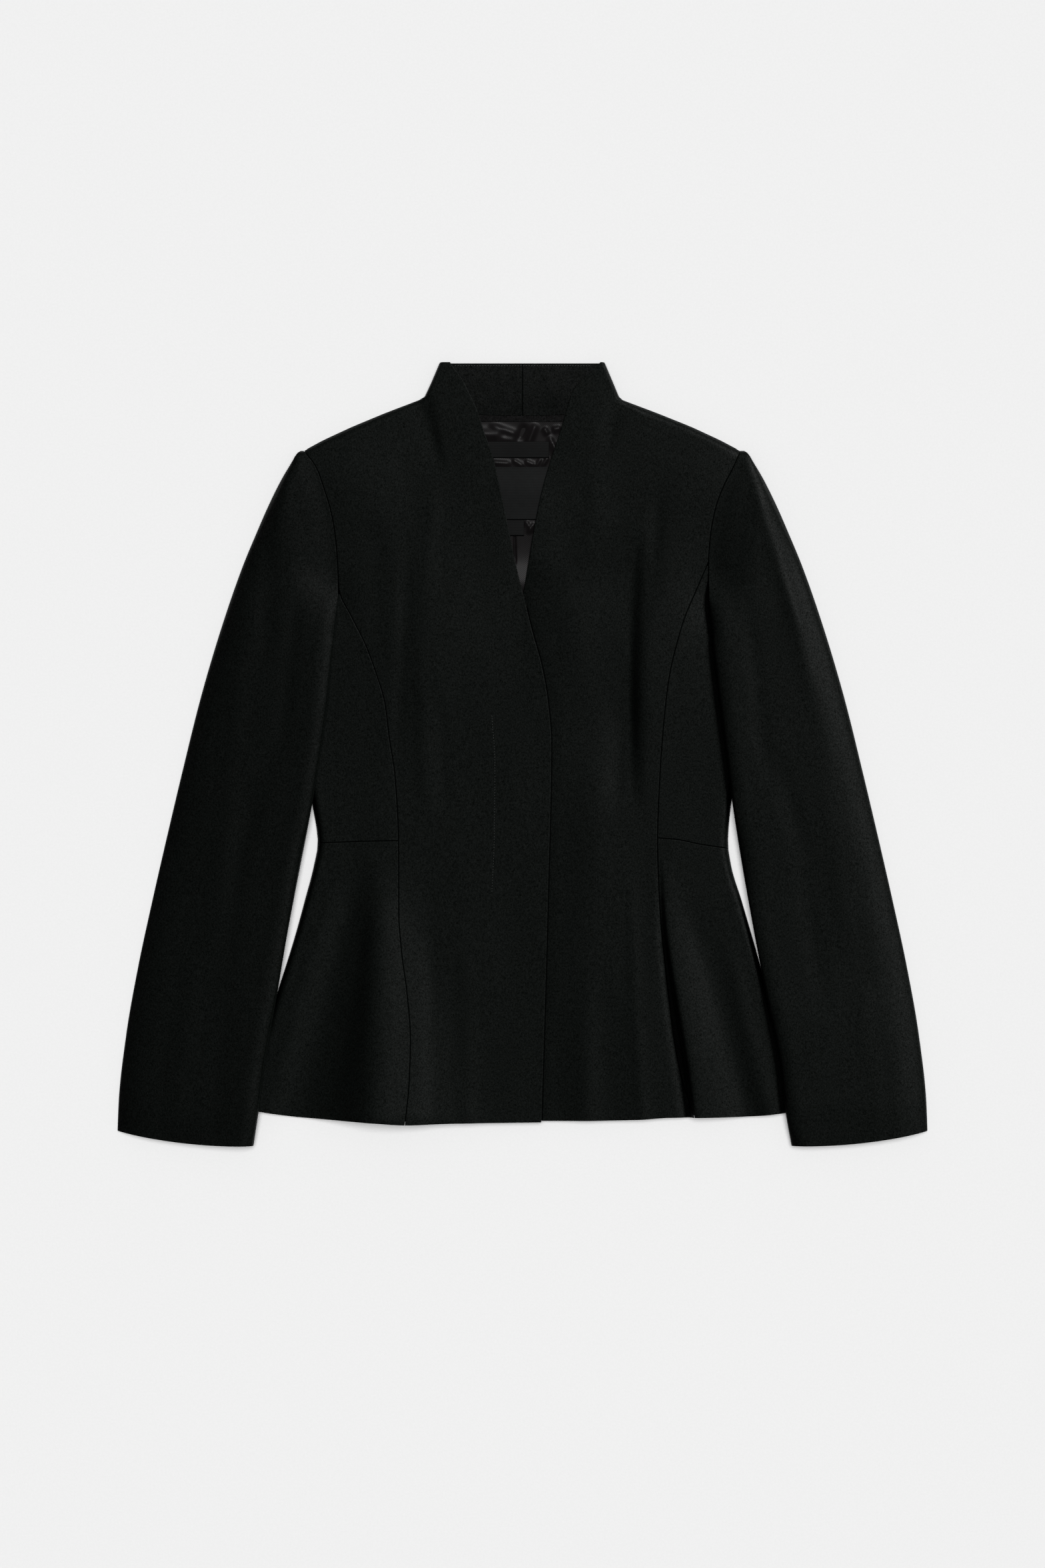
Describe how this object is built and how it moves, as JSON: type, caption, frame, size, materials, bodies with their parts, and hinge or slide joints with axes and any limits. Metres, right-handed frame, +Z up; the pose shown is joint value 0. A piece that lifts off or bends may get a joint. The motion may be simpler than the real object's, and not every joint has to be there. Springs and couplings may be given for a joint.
{
  "type": "peplum jacket",
  "caption": "Fitted black wool jacket laid flat, with a funnel neck, hidden front, princess seams, long sleeves and a flared side peplum.",
  "frame": {"origin": "centre of the flat jacket in plan, on the surface it lies on", "axes": "+X to the wearer's left, across the sleeves; +Y from hem to collar; +Z up from the surface, out of the front"},
  "size_m": [0.7122, 0.6877, 0.0186],
  "materials": {
    "wool": "matte fine worsted wool",
    "satin": "glossy satin lining",
    "tape": "matte tape",
    "label_grey": "woven satin label",
    "label_black": "woven label"
  },
  "bodies": {
    "root": {"front_right": "wool", "side_front_right": "wool", "peplum_side_right": "wool", "back_right": "wool", "collar_back_right": "wool", "collar_facing_right": "wool", "sleeve_upper_right": "wool", "sleeve_under_head_right": "wool", "sleeve_under_right": "wool", "front_left": "wool", "side_front_left": "wool", "peplum_side_left": "wool", "back_left": "wool", "collar_back_left": "wool", "collar_facing_left": "wool", "sleeve_upper_left": "wool", "sleeve_under_head_left": "wool", "sleeve_under_left": "wool", "neck_band": "tape", "lining_back": "satin", "label_fibre": "label_black", "label_main": "label_grey", "label_size": "label_black"}
  },
  "joints": []
}
